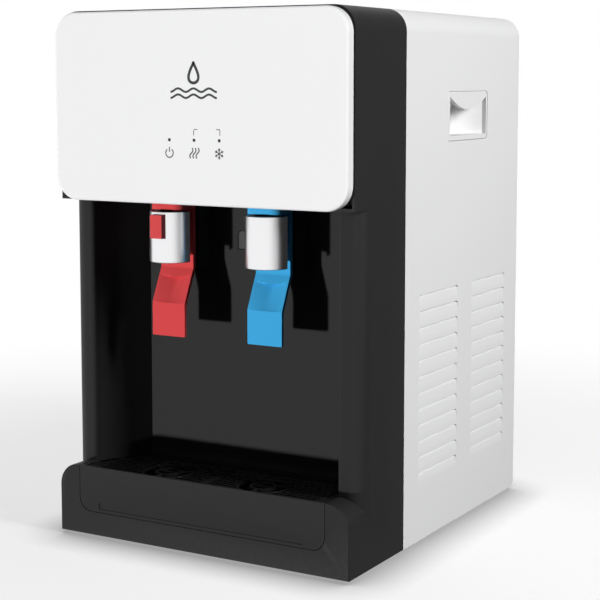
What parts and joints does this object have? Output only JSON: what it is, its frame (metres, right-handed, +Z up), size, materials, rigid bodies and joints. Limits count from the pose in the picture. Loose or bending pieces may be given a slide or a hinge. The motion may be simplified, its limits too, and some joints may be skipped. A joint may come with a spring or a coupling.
{
  "type": "countertop water dispenser",
  "caption": "Countertop hot and cold water dispenser with paddle taps, drip tray, ventilated casing and rear condenser.",
  "frame": {"origin": "centre of the overall footprint at the surface it stands on", "axes": "+Z up, front faces -Y, +X to the right seen from the front"},
  "size_m": [0.305, 0.381, 0.483],
  "materials": {
    "black_plastic": "satin moulded ABS",
    "black_matte": "fine matte moulded plastic",
    "white_gloss": "glossy moulded ABS",
    "white_casing": "fine satin moulded ABS",
    "lens": "smoked translucent lens",
    "board": "circuit board",
    "chrome": "chromed ABS",
    "red_plastic": "moulded red plastic",
    "blue_plastic": "moulded blue plastic",
    "steel": "stainless steel",
    "zinc_sheet": "galvanised sheet",
    "rubber": "soft black rubber",
    "hose": "white polypropylene and silicone",
    "black_wire": "black enamel",
    "foam": "expanded polystyrene",
    "copper": "drawn copper"
  },
  "bodies": {
    "cabinet": {"front_frame": "black_plastic", "recess_liner": "black_plastic", "hot_tap_body": "black_plastic", "cold_tap_body": "black_plastic", "inlet_valve": "black_plastic", "ozone_generator": "black_plastic", "tray_well": "black_matte", "hot_tap_bracket": "black_matte", "cold_tap_bracket": "black_matte", "switch_plate": "black_matte", "front_panel": "white_gloss", "casing": "white_casing", "grip_right": "white_casing", "grip_left": "white_casing", "indicator_power": "lens", "indicator_hot": "lens", "indicator_cold": "lens", "night_light": "lens", "control_board": "board", "hot_tap_cover": "chrome", "cold_tap_cover": "chrome", "hot_lever_pin": "steel", "cold_lever_pin": "steel", "water_inlet": "steel", "cold_tank": "steel", "hot_tank": "steel", "heater_band": "steel", "base_plate": "zinc_sheet", "rear_panel": "zinc_sheet", "compressor_mount": "zinc_sheet", "foot_front_left": "rubber", "foot_front_right": "rubber", "foot_rear_left": "rubber", "foot_rear_right": "rubber", "cord_gland": "rubber", "hot_drain": "hose", "cold_drain": "hose", "cold_hose": "hose", "hot_hose": "hose", "sediment_filter": "hose", "carbon_filter": "hose", "condenser": "black_wire", "condenser_bracket_left": "black_wire", "condenser_bracket_right": "black_wire", "compressor": "black_wire", "cold_insulation": "foam", "hot_jacket": "foam", "evaporator_coil": "copper", "filter_drier": "copper", "suction_line": "copper"},
    "hot_lever_body": {"hot_lever": "red_plastic"},
    "cold_lever_body": {"cold_lever": "blue_plastic"},
    "lock_button_body": {"hot_lock_button": "red_plastic"},
    "tray_body": {"drip_tray": "black_plastic"},
    "grille_body": {"drip_grille": "black_matte"},
    "hot_switch_body": {"hot_switch": "red_plastic"},
    "cold_switch_body": {"cold_switch": "black_plastic"},
    "light_switch_body": {"light_switch": "black_plastic"},
    "hot_drain_cap_body": {"hot_drain_cap": "black_plastic"},
    "cold_drain_cap_body": {"cold_drain_cap": "black_plastic"}
  },
  "joints": [
    {"name": "hot_lever_push", "type": "hinge", "parent": "cabinet", "child": "hot_lever_body", "pos_m": [-0.051, -0.153, 0.3095], "axis": [1, 0, 0], "range_deg": [0, 6], "stiffness_Nm_per_rad": 0.6, "springref_deg": -8.59},
    {"name": "cold_lever_push", "type": "hinge", "parent": "cabinet", "child": "cold_lever_body", "pos_m": [0.051, -0.153, 0.3095], "axis": [1, 0, 0], "range_deg": [0, 6], "stiffness_Nm_per_rad": 0.6, "springref_deg": -8.59},
    {"name": "hot_lock_press", "type": "slide", "parent": "cabinet", "child": "lock_button_body", "axis": [0, 1, 0], "range_m": [0, 0.003], "stiffness_N_per_m": 300, "springref_m": -0.002},
    {"name": "tray_slide", "type": "slide", "parent": "cabinet", "child": "tray_body", "axis": [0, -1, 0], "range_m": [0, 0.075]},
    {"name": "grille_lift", "type": "slide", "parent": "tray_body", "child": "grille_body", "axis": [0, 0, 1], "range_m": [0, 0.03]},
    {"name": "hot_switch_rock", "type": "hinge", "parent": "cabinet", "child": "hot_switch_body", "pos_m": [0.112, 0.1641, 0.421], "axis": [1, 0, 0], "range_deg": [-16, 0]},
    {"name": "cold_switch_rock", "type": "hinge", "parent": "cabinet", "child": "cold_switch_body", "pos_m": [0.112, 0.1641, 0.395], "axis": [1, 0, 0], "range_deg": [-16, 0]},
    {"name": "light_switch_rock", "type": "hinge", "parent": "cabinet", "child": "light_switch_body", "pos_m": [0.112, 0.1641, 0.369], "axis": [1, 0, 0], "range_deg": [-16, 0]},
    {"name": "hot_drain_cap_off", "type": "slide", "parent": "cabinet", "child": "hot_drain_cap_body", "axis": [0, 1, 0], "range_m": [0, 0.02]},
    {"name": "cold_drain_cap_off", "type": "slide", "parent": "cabinet", "child": "cold_drain_cap_body", "axis": [0, 1, 0], "range_m": [0, 0.02]}
  ]
}
